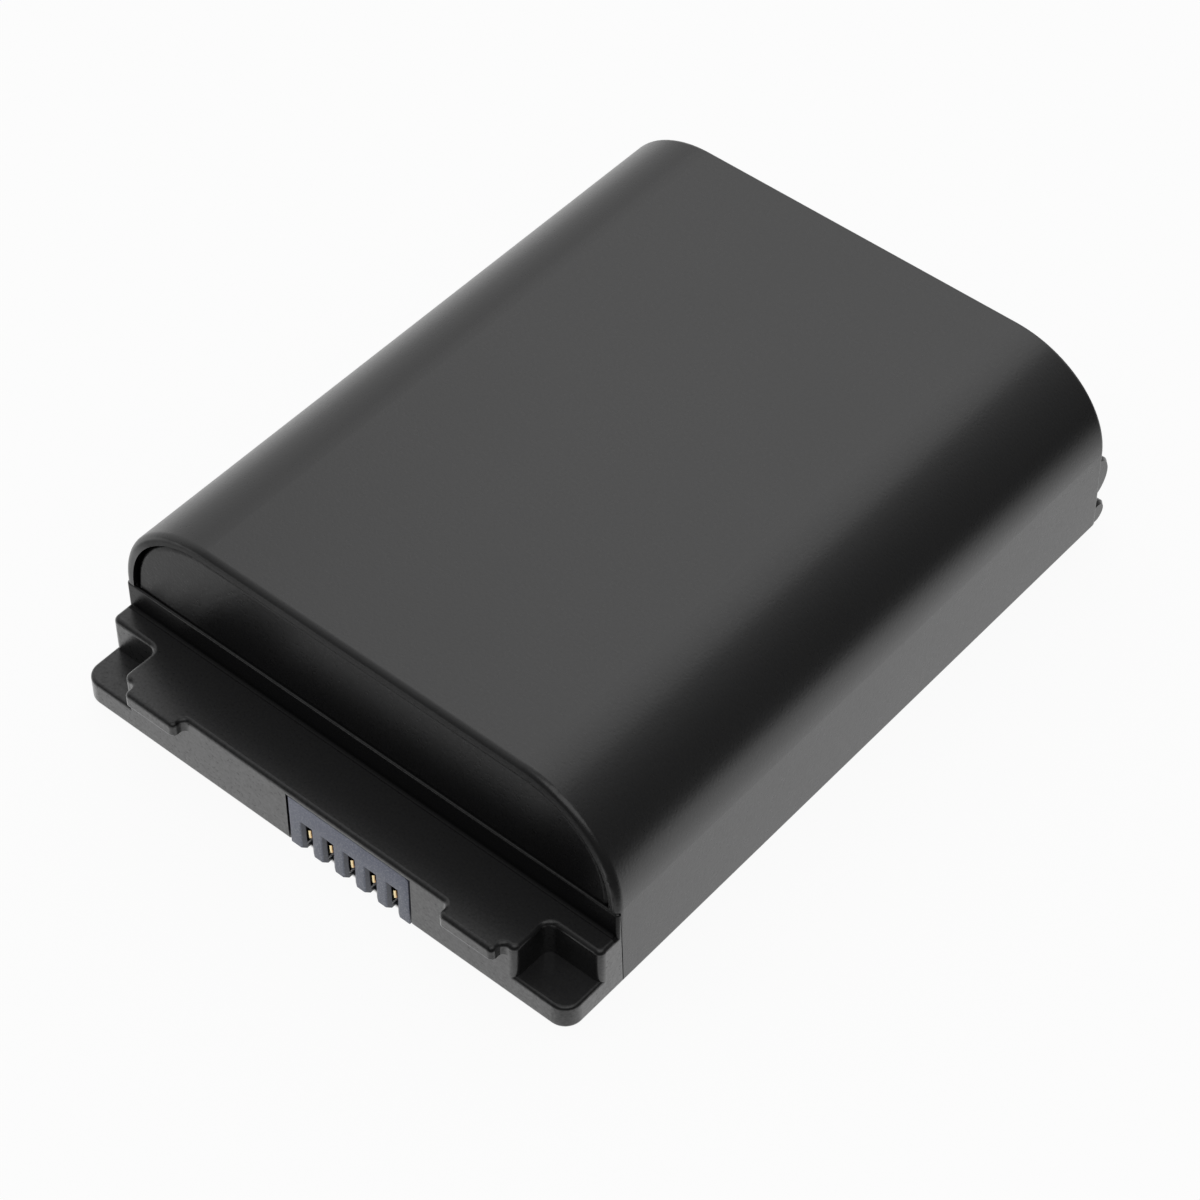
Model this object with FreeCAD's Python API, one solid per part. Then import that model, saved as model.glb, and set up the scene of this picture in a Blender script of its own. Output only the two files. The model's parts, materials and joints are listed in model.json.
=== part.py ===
"""Rechargeable battery pack of a hand-held barcode scanner, in millimetres.

X runs across the pack, Y along it from the contact end to the rear, Z up from the face it lies on.
The origin is below the middle of the whole pack. Everything is sized from the cells outwards.
"""
import FreeCAD, Part
import math
import os

V = FreeCAD.Vector

# Cells: three round cans side by side
cell_d = 18.3
cell_len = 65.0
cell_gap = 0.1
cap_r = 4.4
cap_deep = 0.9
cap_rise = 0.3
crimp_in_r = 6.2
crimp_edge = 0.6
groove_at = 3.0
groove_w = 1.6
groove_deep = 0.5
can_edge = 0.7
ring_in_r = 5.0
ring_edge = 0.7
ring_t = 0.2

# Room around the cells
side_gap = 0.1
top_gap = 0.4
rest_gap = 0.05
fit_gap = 0.1

# Moulded walls
wall = 1.05
floor_t = 1.2
end_wall_t = 1.2
end_recess = 0.3
front_t = 1.1
roof_t = 0.65

# Front block: ledge, band, corner notches and tabs
block_depth = 6.4
ledge_z = 7.0
band_h = 3.1
seam_top = 0.4
seam_bottom = 0.9
seam_gap = 0.1
notch_x = 23.0
notch_z = 2.9
strip_behind_notch = 2.2
notch_round = 0.9
block_corner_r = 1.8
ledge_corner_r = 0.7
strip_corner_r = 0.7
tab_x = 18.55
tab_w = 6.1
tab_t = 1.45
tab_reach = 1.35
tab_corner_r = 0.55

# Edge rounding
rim_round = 0.7
back_round = 0.4
foot_round = 0.5
ledge_round = 0.45
notch_edge_round = 0.35
band_round = 0.4
band_top_round = 0.2
band_foot_round = 0.35
end_wall_round = 0.7

# Tray: side lips and the cradle ribs between cells
lip_t = 0.9
lip_h = 1.4
rib_w = 8.0
rib_h = 1.7
rib_short = 2.0

# Back wall, which leans forwards, and the two long beads of the rear catch on it
back_lean = 1.3
upper_bead_z = 6.85
upper_bead_h = 5.0
lower_bead_z = 1.5
lower_bead_h = 2.7
bead_reach = 1.5
bead_inset = 0.1
bead_end_bevel = 0.3

# Connector comb and its fork contacts
conn_x = 3.95
conn_w = 13.95
conn_depth = 3.5
conn_gap = 0.25
conn_key = 0.3
wing_w = 1.0
contact_count = 5
contact_pitch = 2.5
slot_w = 1.6
slot_h = 3.75
lead_in = 0.32
slit_w = 0.72
slit_len = 0.13
slit_run = 2.0
chamber_w = 1.5
chamber_back = 0.6
sill_h = 0.65
leaf_t = 0.2
leaf_h = 1.05
leaf_rise = 0.4
nose_gap = 0.24
nose_deep = 1.15
lip_r = 0.55
lip_turn = 75.0
fork_w = 1.1
fork_straight = 0.55
tail_w = 0.5
tail_past = 0.6

# Circuit board and the parts on it
board_t = 1.0
guide_t = 0.8
guide_w = 1.2
chip_bevel = 0.15
chip_size = (3.0, 0.9, 3.0)
chip_x = -3.2
switch_size = (4.9, 1.3, 3.6)
switch_x = -16.4
fuse_size = (4.4, 0.9, 3.0)
fuse_x = 15.6
sense_size = (3.2, 0.6, 2.5)
sense_x = 4.4
thermistor_x = 0.6
thermistor_z = 3.6
thermistor_d = 1.8
thermistor_gap = 0.05
bead_rows = 6
wire_d = 0.4
wire_pitch = 0.9

# Strips, leads, insulators and the rear pad
strip_t = 0.2
strip_w = 8.0
strip_over = 4.0
weld_slot_w = 0.8
weld_slot_len = 5.0
lead_w = 4.0
lead_foot = 1.2
lead_lap = 4.0
lead_drop = 1.6
insulator_t = 0.3
rear_room = 0.65
pad_h = 6.0
pad_w = 48.0

# How far the cutters run past what they cut
past = 5.0

# Worked out from the sizes above
cell_r = cell_d / 2
cell_pitch = cell_d + cell_gap
cell_z = floor_t + rest_gap + cell_r
half_w = cell_pitch + cell_r + side_gap + wall
height = cell_z + cell_r + top_gap + wall
corner_r = wall + top_gap + cell_r
stack_front = end_recess + end_wall_t + insulator_t + strip_t
stack_rear = strip_t + insulator_t + rear_room
cover_len = stack_front + cell_len + stack_rear + wall
bead_tip = cover_len + back_lean * (1 - lower_bead_z / height) + bead_reach
rim_y = (tab_reach + block_depth - bead_tip) / 2
front_y = rim_y - block_depth
band_z = ledge_z + band_h
roof_z = ledge_z - roof_t
lip_top = floor_t + lip_h
inner_half = half_w - wall
inner_top = height - wall
inner_r = corner_r - wall
end_wall_y = rim_y + end_recess + end_wall_t
cell_front = rim_y + stack_front
cell_back = cell_front + cell_len
cavity_half = notch_x - front_t
conn_top = roof_z - fit_gap
leaf_z = sill_h + leaf_rise
tail_z = leaf_z + leaf_h - tail_w / 2
board_y = front_y + conn_depth
board_back = board_y + board_t
board_half = cavity_half - fit_gap
strip_low = cell_z - strip_w / 2
lead_z = floor_t + rib_h
lead_x = cell_pitch / 2


def box(x0, x1, y0, y1, z0, z1):
    """Box between two corners."""
    return Part.makeBox(x1 - x0, y1 - y0, z1 - z0, V(x0, y0, z0))


def prism(points, along):
    """Flat outline through the points, pushed along a vector."""
    return Part.Face(Part.makePolygon(points + points[:1])).extrude(along)


def outlined(lines):
    """Flat face inside a closed run of lines and arcs."""
    return Part.Face(Part.Wire([line.toShape() for line in lines]))


def turned(points):
    """Solid turned about the Y axis from an outline through the points."""
    outline = Part.Face(Part.makePolygon(points + points[:1]))
    return outline.revolve(V(0, 0, 0), V(0, 1, 0), 360)


def arch(half, low, top, radius, y0, y1):
    """Bar along Y with upright sides, a flat bottom and two round upper corners."""
    cx = half - radius
    cz = top - radius
    mid = radius * math.sqrt(0.5)
    outline = [
        Part.LineSegment(V(-half, y0, low), V(-half, y0, cz)),
        Part.Arc(V(-half, y0, cz), V(-cx - mid, y0, cz + mid), V(-cx, y0, top)),
        Part.LineSegment(V(-cx, y0, top), V(cx, y0, top)),
        Part.Arc(V(cx, y0, top), V(cx + mid, y0, cz + mid), V(half, y0, cz)),
        Part.LineSegment(V(half, y0, cz), V(half, y0, low)),
        Part.LineSegment(V(half, y0, low), V(-half, y0, low)),
    ]
    return outlined(outline).extrude(V(0, y1 - y0, 0))


def near(a, b):
    """True for two equal lengths."""
    return abs(a - b) < 1e-4


def lies(edge, x=None, y=None, z=None):
    """True for an edge that lies whole in the given planes, with x on either side."""
    b = edge.BoundBox
    on_x = x is None or (near(abs(b.XMin), x) and near(abs(b.XMax), x) and near(b.XMin, b.XMax))
    on_y = y is None or (near(b.YMin, y) and near(b.YMax, y))
    on_z = z is None or (near(b.ZMin, z) and near(b.ZMax, z))
    return on_x and on_y and on_z


def rounded(shape, radius, test):
    """Shape with the edges that pass the test rounded."""
    return shape.makeFillet(radius, [edge for edge in shape.Edges if test(edge)])


def back_at(z):
    """Y of the leaning back wall's outer face at a height."""
    return rim_y + cover_len + back_lean * (1 - z / height)


def on_back(edge):
    """True for an edge whose ends lie on the back wall's outer face."""
    return all(near(end.Y, back_at(end.Z)) for end in edge.Vertexes)


def above_foot(edge):
    """True for an edge that reaches higher than the rounding of the bottom edges."""
    return edge.BoundBox.ZMax > foot_round + rest_gap


def behind(depth):
    """Cutter of all that lies behind the back wall's outer face, or behind a face that much deeper."""
    low = -past
    high = height + past
    outline = [
        V(-half_w - past, back_at(low) - depth, low),
        V(-half_w - past, back_at(high) - depth, high),
        V(-half_w - past, back_at(low) + past, high),
        V(-half_w - past, back_at(low) + past, low),
    ]
    return prism(outline, V(2 * (half_w + past), 0, 0))


def bead(z, tall):
    """Rod sunk in the back wall, so that a round bead of the given height stands out of it."""
    radius = (tall ** 2 / 4 + bead_reach ** 2) / (2 * bead_reach)
    run = half_w - bead_inset
    rod = Part.makeCylinder(radius, 2 * run, V(-run, back_at(z) + bead_reach - radius, z), V(1, 0, 0))
    return rod.makeChamfer(bead_end_bevel, [edge for edge in rod.Edges if lies(edge, x=run)])


def make_cover():
    """Shell with a leaning back wall, cut back at its lower front corners for the front block."""
    shape = arch(half_w, 0, height, corner_r, rim_y, back_at(0)).cut(behind(0))
    shape = rounded(shape, foot_round, lambda e: lies(e, z=0) and (lies(e, x=half_w) or on_back(e)))
    shape = rounded(shape, back_round, lambda e: on_back(e) and above_foot(e))
    shape = rounded(shape, rim_round, lambda e: lies(e, y=rim_y) and above_foot(e))
    shape = shape.fuse([bead(upper_bead_z, upper_bead_h), bead(lower_bead_z, lower_bead_h)])
    hollow = arch(inner_half, -past, inner_top, inner_r, rim_y - past, back_at(0)).cut(behind(wall))
    shape = shape.cut(hollow)
    seam = [
        V(-half_w - past, rim_y - past, -past),
        V(-half_w - past, rim_y + seam_bottom + (seam_bottom - seam_top) * past / band_z, -past),
        V(-half_w - past, rim_y + seam_top, band_z),
        V(-half_w - past, rim_y - past, band_z),
    ]
    return shape.cut(prism(seam, V(2 * (half_w + past), 0, 0))).removeSplitter()


def notch():
    """Cutter of the right front corner notch, with a round inner corner."""
    y1 = rim_y - strip_behind_notch
    tool = box(notch_x, half_w + past, front_y - past, y1, notch_z, ledge_z + past)
    return rounded(tool, notch_round, lambda e: lies(e, x=notch_x, y=y1))


def tab(middle):
    """Short tongue on the front face, level with the ledge, that hooks the pack into its bay."""
    tip = front_y - tab_reach
    shape = box(middle - tab_w / 2, middle + tab_w / 2, tip, front_y, ledge_z - tab_t, ledge_z)
    return rounded(shape, tab_corner_r, lambda e: lies(e, y=tip) and upright(e))


def upright(edge):
    """True for an edge along Z."""
    b = edge.BoundBox
    return near(b.XMin, b.XMax) and near(b.YMin, b.YMax)


def beside_tab(edge):
    """True for the upright corners between a tab and the front face."""
    return lies(edge, y=front_y) and upright(edge) and near(edge.BoundBox.ZMin, ledge_z - tab_t)


def on_block_foot(edge):
    """True for the bottom edges of the block's front and sides."""
    return lies(edge, z=0) and (edge.BoundBox.YMax < rim_y or lies(edge, x=half_w))


def on_notch_rim(edge):
    """True for the outer edges of the notch floors."""
    b = edge.BoundBox
    far = max(abs(b.XMin), abs(b.XMax))
    in_front = b.YMax < front_y + block_corner_r + fit_gap and far > notch_x + fit_gap
    return lies(edge, z=notch_z) and (in_front or lies(edge, x=half_w))


def make_block():
    """Front block with its ledge, the band above it, the notches and the two tabs."""
    side = [
        V(-half_w, front_y, 0),
        V(-half_w, rim_y + seam_bottom - seam_gap, 0),
        V(-half_w, rim_y + seam_top - seam_gap, band_z - seam_gap),
        V(-half_w, rim_y, band_z - seam_gap),
        V(-half_w, rim_y, ledge_z),
        V(-half_w, front_y, ledge_z),
    ]
    shape = prism(side, V(2 * half_w, 0, 0))
    shape = rounded(shape, block_corner_r, lambda e: lies(e, x=half_w, y=front_y))
    shape = rounded(shape, band_round, lambda e: lies(e, x=half_w, y=rim_y))
    right = notch()
    shape = shape.cut([right, right.mirror(V(0, 0, 0), V(1, 0, 0))])
    shape = rounded(shape, ledge_corner_r, lambda e: lies(e, x=notch_x, y=front_y))
    shape = rounded(shape, strip_corner_r, lambda e: lies(e, x=half_w, y=rim_y - strip_behind_notch))
    shape = shape.fuse([tab(-tab_x), tab(tab_x)]).removeSplitter()
    shape = rounded(shape, tab_corner_r, beside_tab)
    shape = rounded(shape, ledge_round, lambda e: lies(e, z=ledge_z) and e.BoundBox.YMax < rim_y - fit_gap)
    shape = rounded(shape, notch_edge_round, on_notch_rim)
    shape = rounded(shape, foot_round, on_block_foot)
    shape = rounded(shape, band_top_round, lambda e: lies(e, y=rim_y, z=band_z - seam_gap))
    return shape.fuse(band_foot()).removeSplitter()


def band_foot():
    """Hollow round that leads from the ledge up into the band, between the band's round corners."""
    x = half_w - band_round
    mid = band_foot_round * (1 - math.sqrt(0.5))
    corner = V(-x, rim_y, ledge_z)
    front = V(-x, rim_y - band_foot_round, ledge_z)
    top = V(-x, rim_y, ledge_z + band_foot_round)
    outline = [
        Part.LineSegment(corner, front),
        Part.Arc(front, V(-x, rim_y - mid, ledge_z + mid), top),
        Part.LineSegment(top, corner),
    ]
    return outlined(outline).extrude(V(2 * x, 0, 0))


def make_base():
    """Tray with the front block, the end wall inside the cover's rim, side lips and cradle ribs."""
    shape = make_block()
    face_y = rim_y + end_recess
    end_wall = arch(inner_half - fit_gap, 0, inner_top - fit_gap, inner_r - fit_gap, face_y, end_wall_y)
    end_wall = rounded(end_wall, end_wall_round, lambda e: lies(e, y=face_y) and above_foot(e))
    plate_half = inner_half - fit_gap
    plate_end = back_at(lip_top) - wall - fit_gap
    plate = box(-plate_half, plate_half, rim_y, plate_end, 0, floor_t)
    lips = [
        box(x, x + lip_t, end_wall_y, plate_end, 0, lip_top)
        for x in (-plate_half, plate_half - lip_t)
    ]
    shape = shape.fuse([end_wall, plate] + lips)
    cavity = box(-cavity_half, cavity_half, front_y + front_t, end_wall_y, floor_t, roof_z)
    x0 = conn_x - conn_w / 2 - conn_gap
    x1 = conn_x + conn_w / 2 + conn_gap
    window = box(x0, x1, front_y - past, front_y + front_t, -past, conn_top + fit_gap)
    well = box(x0, x1, front_y - past, board_y + fit_gap, -past, floor_t)
    shape = shape.cut([cavity, window, well])
    shape = shape.fuse(cradle_ribs() + board_guides())
    return shape.removeSplitter()


def cradle_ribs():
    """Ribs in the two valleys between the cells, hollowed to the cells' round."""
    ribs = []
    cells = [
        Part.makeCylinder(cell_r + rest_gap, cell_len, V(x, cell_front, cell_z), V(0, 1, 0))
        for x in (-cell_pitch, 0, cell_pitch)
    ]
    for x in (-lead_x, lead_x):
        y0 = cell_front + rib_short
        y1 = cell_back - rib_short
        ribs.append(box(x - rib_w / 2, x + rib_w / 2, y0, y1, floor_t - rest_gap, lead_z).cut(cells))
    return ribs


def board_guides():
    """Upright ribs that hold the board's two ends, before and behind it."""
    guides = []
    for side in (-1, 1):
        x0, x1 = sorted((side * (cavity_half - guide_w), side * (cavity_half + rest_gap)))
        for y in (board_y - fit_gap - guide_t, board_back + fit_gap):
            guides.append(box(x0, x1, y, y + guide_t, floor_t - rest_gap, roof_z + rest_gap))
    return guides


def slot_x(number):
    """Middle of a contact slot, counted from 0."""
    return conn_x + (number - (contact_count - 1) / 2) * contact_pitch


def make_connector():
    """Comb: slots open in front and below, each with a lead-in, a slit and a contact chamber."""
    x0 = conn_x - conn_w / 2
    x1 = conn_x + conn_w / 2
    shape = prism(
        [
            V(x0, front_y, 0),
            V(x1, front_y, 0),
            V(x1, front_y, conn_top - conn_key),
            V(x1 - conn_key, front_y, conn_top),
            V(x0, front_y, conn_top),
        ],
        V(0, conn_depth, 0),
    )
    wing_y = front_y + front_t + fit_gap
    wings = box(x0 - wing_w, x1 + wing_w, wing_y, board_y, floor_t, conn_top)
    shape = shape.fuse(wings).removeSplitter()
    return shape.cut([cutter for number in range(contact_count) for cutter in slot_cutters(slot_x(number))])


def slot_cutters(x):
    """Lead-in, slit, which also runs back through the sill, chamber and tail hole of one slot."""
    slit_y = front_y + lead_in
    chamber_y = slit_y + slit_len
    lead = prism(
        [
            V(x - slot_w / 2, front_y, -past),
            V(x + slot_w / 2, front_y, -past),
            V(x + slit_w / 2, slit_y, -past),
            V(x - slit_w / 2, slit_y, -past),
        ],
        V(0, 0, past + slot_h),
    )
    slit = box(x - slit_w / 2, x + slit_w / 2, slit_y, front_y + slit_run, -past, slot_h)
    chamber = box(x - chamber_w / 2, x + chamber_w / 2, chamber_y, board_y - chamber_back, sill_h, slot_h)
    hole = tail_w + fit_gap
    low = tail_z - hole / 2
    tail = box(x - hole / 2, x + hole / 2, board_y - chamber_back, board_y, low, low + hole)
    return [lead, slit, chamber, tail]


def leaf(x, side):
    """One spring leaf of a fork in plan: straight, then in to the nose, then curled out as a lip."""
    root = board_y - chamber_back - fit_gap
    bend = root - fork_straight
    nose_y = front_y + nose_deep
    outer = fork_w / 2
    inner = outer - leaf_t
    back_r = lip_r - leaf_t
    turn = math.radians(lip_turn)

    def at(across, y):
        return V(x + side * across, y, leaf_z)

    def on_lip(radius, angle):
        return at(nose_gap / 2 + lip_r - radius * math.cos(angle), nose_y - radius * math.sin(angle))

    plan = [
        Part.LineSegment(at(outer, root), at(outer, bend)),
        Part.LineSegment(at(outer, bend), on_lip(back_r, 0)),
        Part.Arc(on_lip(back_r, 0), on_lip(back_r, turn / 2), on_lip(back_r, turn)),
        Part.LineSegment(on_lip(back_r, turn), on_lip(lip_r, turn)),
        Part.Arc(on_lip(lip_r, turn), on_lip(lip_r, turn / 2), on_lip(lip_r, 0)),
        Part.LineSegment(on_lip(lip_r, 0), at(inner, bend)),
        Part.LineSegment(at(inner, bend), at(inner, root)),
        Part.LineSegment(at(inner, root), at(outer, root)),
    ]
    return outlined(plan).extrude(V(0, 0, leaf_h))


def make_contact(number):
    """Fork contact: two leaves, the web that joins them and a tail through the board."""
    x = slot_x(number)
    root = board_y - chamber_back - fit_gap
    high = leaf_z + leaf_h
    web = box(x - fork_w / 2, x + fork_w / 2, root - leaf_t, root, leaf_z, high)
    tail = box(x - tail_w / 2, x + tail_w / 2, root - leaf_t, board_back + tail_past, high - tail_w, high)
    return leaf(x, -1).fuse([leaf(x, 1), web, tail]).removeSplitter()


def make_board():
    """Board that stands behind the connector, drilled for the contact tails."""
    shape = box(-board_half, board_half, board_y, board_back, floor_t, roof_z - fit_gap)
    hole_r = (tail_w + fit_gap) * math.sqrt(0.5)
    holes = [
        Part.makeCylinder(hole_r, board_t, V(slot_x(number), board_y, tail_z), V(0, 1, 0))
        for number in range(contact_count)
    ]
    return shape.cut(holes)


def on_board(x, size):
    """Moulded chip on the board's rear face, with its upper corner edges bevelled."""
    wide, deep, tall = size
    z = (floor_t + roof_z - fit_gap) / 2
    shape = box(x - wide / 2, x + wide / 2, board_back, board_back + deep, z - tall / 2, z + tall / 2)
    outer = board_back + deep
    return shape.makeChamfer(chip_bevel, [e for e in shape.Edges if lies(e, y=outer)])


def make_thermistor():
    """Dipped bead on two wires that stand on the board, next to the middle cell's end."""
    r = thermistor_d / 2
    y = cell_front + cap_rise - ring_t - thermistor_gap - r
    angles = [math.pi * step / bead_rows for step in range(bead_rows + 1)]
    head = turned([V(r * math.sin(angle), y - r * math.cos(angle), 0) for angle in angles])
    head.translate(V(thermistor_x, 0, thermistor_z))
    wires = [
        Part.makeCylinder(wire_d / 2, y - board_back, V(x, board_back, thermistor_z), V(0, 1, 0))
        for x in (thermistor_x - wire_pitch / 2, thermistor_x + wire_pitch / 2)
    ]
    return head.fuse(wires)


def make_cell(x):
    """Sealed can turned about its own axis, with the crimped positive end in front."""
    groove_end = groove_at + groove_w
    groove_r = cell_r - groove_deep
    outline = [
        (0, 0),
        (cap_r, 0),
        (cap_r, cap_deep),
        (crimp_in_r, cap_deep),
        (crimp_in_r, cap_rise),
        (cell_r - crimp_edge, cap_rise),
        (cell_r, cap_rise + crimp_edge),
        (cell_r, groove_at),
        (groove_r, groove_at + groove_deep),
        (groove_r, groove_end - groove_deep),
        (cell_r, groove_end),
        (cell_r, cell_len - can_edge),
        (cell_r - can_edge, cell_len),
        (0, cell_len),
    ]
    shape = turned([V(radius, cell_front + back, 0) for radius, back in outline])
    shape.translate(V(x, 0, cell_z))
    return shape


def make_ring(x):
    """Paper ring on a cell's crimped rim."""
    start = V(x, cell_front + cap_rise - ring_t, cell_z)
    outer = Part.makeCylinder(cell_r - ring_edge, ring_t, start, V(0, 1, 0))
    return outer.cut(Part.makeCylinder(ring_in_r, ring_t, start, V(0, 1, 0)))


def strip(y):
    """Nickel strip across the three cell ends, slit at each weld."""
    reach = cell_pitch + strip_over
    shape = box(-reach, reach, y, y + strip_t, strip_low, strip_low + strip_w)
    low = cell_z - weld_slot_w / 2
    slots = [
        box(x - weld_slot_len / 2, x + weld_slot_len / 2, y, y + strip_t, low, low + weld_slot_w)
        for x in (-cell_pitch, 0, cell_pitch)
    ]
    return shape.cut(slots)


def folded(x, outline):
    """Strip of lead width, folded along an outline in the YZ plane."""
    return prism([V(x - lead_w / 2, y, z) for y, z in outline], V(lead_w, 0, 0))


def make_positive_strip():
    """Front strip with a tail folded forwards under the ledge to the board."""
    y0 = cell_front - strip_t
    z = roof_z - lead_drop
    tail = folded(
        lead_x,
        [
            (cell_front, strip_low),
            (y0, strip_low),
            (y0, z + strip_t),
            (board_back + strip_t, z + strip_t),
            (board_back + strip_t, z + lead_foot),
            (board_back, z + lead_foot),
            (board_back, z),
            (cell_front, z),
        ],
    )
    return strip(y0).fuse(tail).removeSplitter()


def make_negative_strip():
    """Rear strip with a tail folded forwards over the long lead."""
    z = lead_z + strip_t
    tail = folded(
        -lead_x,
        [
            (cell_back, strip_low),
            (cell_back + strip_t, strip_low),
            (cell_back + strip_t, z),
            (cell_back - lead_lap, z),
            (cell_back - lead_lap, z + strip_t),
            (cell_back, z + strip_t),
        ],
    )
    return strip(cell_back).fuse(tail).removeSplitter()


def make_negative_lead():
    """Flat lead along a cradle rib, from below the rear strip's tail to a foot on the board."""
    return folded(
        -lead_x,
        [
            (cell_back, lead_z),
            (cell_back, lead_z + strip_t),
            (board_back + strip_t, lead_z + strip_t),
            (board_back + strip_t, lead_z + lead_foot),
            (board_back, lead_z + lead_foot),
            (board_back, lead_z),
        ],
    )


def make_insulator(y, low):
    """Paper sheet in the pack's arch shape, against an end wall."""
    return arch(inner_half - side_gap, low, inner_top - top_gap, inner_r - side_gap, y, y + insulator_t)


def make_rear_pad():
    """Foam wedge between the rear sheet and the leaning back wall."""
    y = cell_back + strip_t + insulator_t
    low = cell_z - pad_h / 2
    high = cell_z + pad_h / 2
    side = [
        V(-pad_w / 2, y, low),
        V(-pad_w / 2, back_at(low) - wall, low),
        V(-pad_w / 2, back_at(high) - wall, high),
        V(-pad_w / 2, y, high),
    ]
    return prism(side, V(pad_w, 0, 0))


def save(name, shape):
    """Writes one piece to its own file."""
    shape.exportStep("parts/" + name + ".step")


os.makedirs("parts", exist_ok=True)
save("cover", make_cover())
save("base", make_base())
save("connector_block", make_connector())
for count in range(contact_count):
    save("contact_" + str(count + 1), make_contact(count))
for place, across in (("left", -cell_pitch), ("middle", 0), ("right", cell_pitch)):
    save("cell_" + place, make_cell(across))
    save("cell_ring_" + place, make_ring(across))
save("positive_strip", make_positive_strip())
save("negative_strip", make_negative_strip())
save("negative_lead", make_negative_lead())
save("front_insulator", make_insulator(end_wall_y, roof_z))
save("rear_insulator", make_insulator(cell_back + strip_t, lip_top + rest_gap))
save("rear_pad", make_rear_pad())
save("protection_board", make_board())
save("protection_chip", on_board(chip_x, chip_size))
save("switch_chip", on_board(switch_x, switch_size))
save("fuse", on_board(fuse_x, fuse_size))
save("sense_resistor", on_board(sense_x, sense_size))
save("thermistor", make_thermistor())
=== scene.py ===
# %% [markdown]
# # Battery pack of a hand-held barcode scanner
# The pack lies on its flat face, contact end towards us: an arched black shell, a stepped front
# block with two corner notches and two hook tabs, and a blue-grey comb with five gold contacts.
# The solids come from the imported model, so this lesson is about dressing them: finishes, the few
# fine pieces that are worth modelling by hand, the studio and the camera.

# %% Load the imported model
import json
import math

import bmesh
import bpy
from mathutils import Matrix, Vector

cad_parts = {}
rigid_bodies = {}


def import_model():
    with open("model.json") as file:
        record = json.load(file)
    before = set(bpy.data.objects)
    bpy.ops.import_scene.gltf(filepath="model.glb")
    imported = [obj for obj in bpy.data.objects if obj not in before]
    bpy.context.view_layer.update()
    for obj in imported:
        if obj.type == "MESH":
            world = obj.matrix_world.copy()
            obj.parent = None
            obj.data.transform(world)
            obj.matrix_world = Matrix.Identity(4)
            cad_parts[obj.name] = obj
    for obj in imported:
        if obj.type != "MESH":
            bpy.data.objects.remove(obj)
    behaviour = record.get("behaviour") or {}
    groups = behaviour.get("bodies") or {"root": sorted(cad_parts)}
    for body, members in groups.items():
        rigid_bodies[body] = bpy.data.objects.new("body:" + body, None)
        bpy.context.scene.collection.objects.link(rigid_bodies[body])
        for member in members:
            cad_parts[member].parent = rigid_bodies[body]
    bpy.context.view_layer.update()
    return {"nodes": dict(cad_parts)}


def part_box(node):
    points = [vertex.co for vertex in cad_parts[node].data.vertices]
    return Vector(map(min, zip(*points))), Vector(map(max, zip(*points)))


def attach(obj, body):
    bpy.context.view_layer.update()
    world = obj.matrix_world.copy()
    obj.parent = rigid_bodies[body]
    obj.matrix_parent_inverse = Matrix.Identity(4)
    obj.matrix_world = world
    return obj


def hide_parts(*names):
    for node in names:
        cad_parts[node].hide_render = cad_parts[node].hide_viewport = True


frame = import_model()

MM = 0.001
nodes = frame["nodes"]

# %% [markdown]
# ## A small language for finishes
# A finish is a tree of nodes, and long trees are hard to read as a list of links. Here a Wire
# stands for one output socket, and ordinary arithmetic on wires adds the Math nodes.

# %% Wires
class Wire:
    """One output socket of a finish. Sums on wires add Math nodes."""

    def __init__(self, finish, socket):
        self.finish = finish
        self.socket = socket

    def math(self, operation, first, second):
        """Math node of two wires or numbers."""
        return self.finish.node("ShaderNodeMath", {"operation": operation}, {0: first, 1: second})

    def __add__(self, other):
        return self.math("ADD", self, other)

    def __radd__(self, other):
        return self.math("ADD", other, self)

    def __sub__(self, other):
        return self.math("SUBTRACT", self, other)

    def __rsub__(self, other):
        return self.math("SUBTRACT", other, self)

    def __mul__(self, other):
        return self.math("MULTIPLY", self, other)

    def __rmul__(self, other):
        return self.math("MULTIPLY", other, self)

    def __truediv__(self, other):
        return self.math("DIVIDE", self, other)

    def __mod__(self, other):
        return self.math("FLOORED_MODULO", self, other)

    def __gt__(self, other):
        return self.math("GREATER_THAN", self, other)

    def __lt__(self, other):
        return self.math("LESS_THAN", self, other)

    def __or__(self, other):
        return self.math("MAXIMUM", self, other)

    def __abs__(self):
        return self.math("ABSOLUTE", self, 0.0)


print("wires are ready")

# %% [markdown]
# Every other node comes from one method of a Finish, `node`, which sets the node's options first and
# then its sockets. The short methods after it name the nodes that this lesson uses most.

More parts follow.
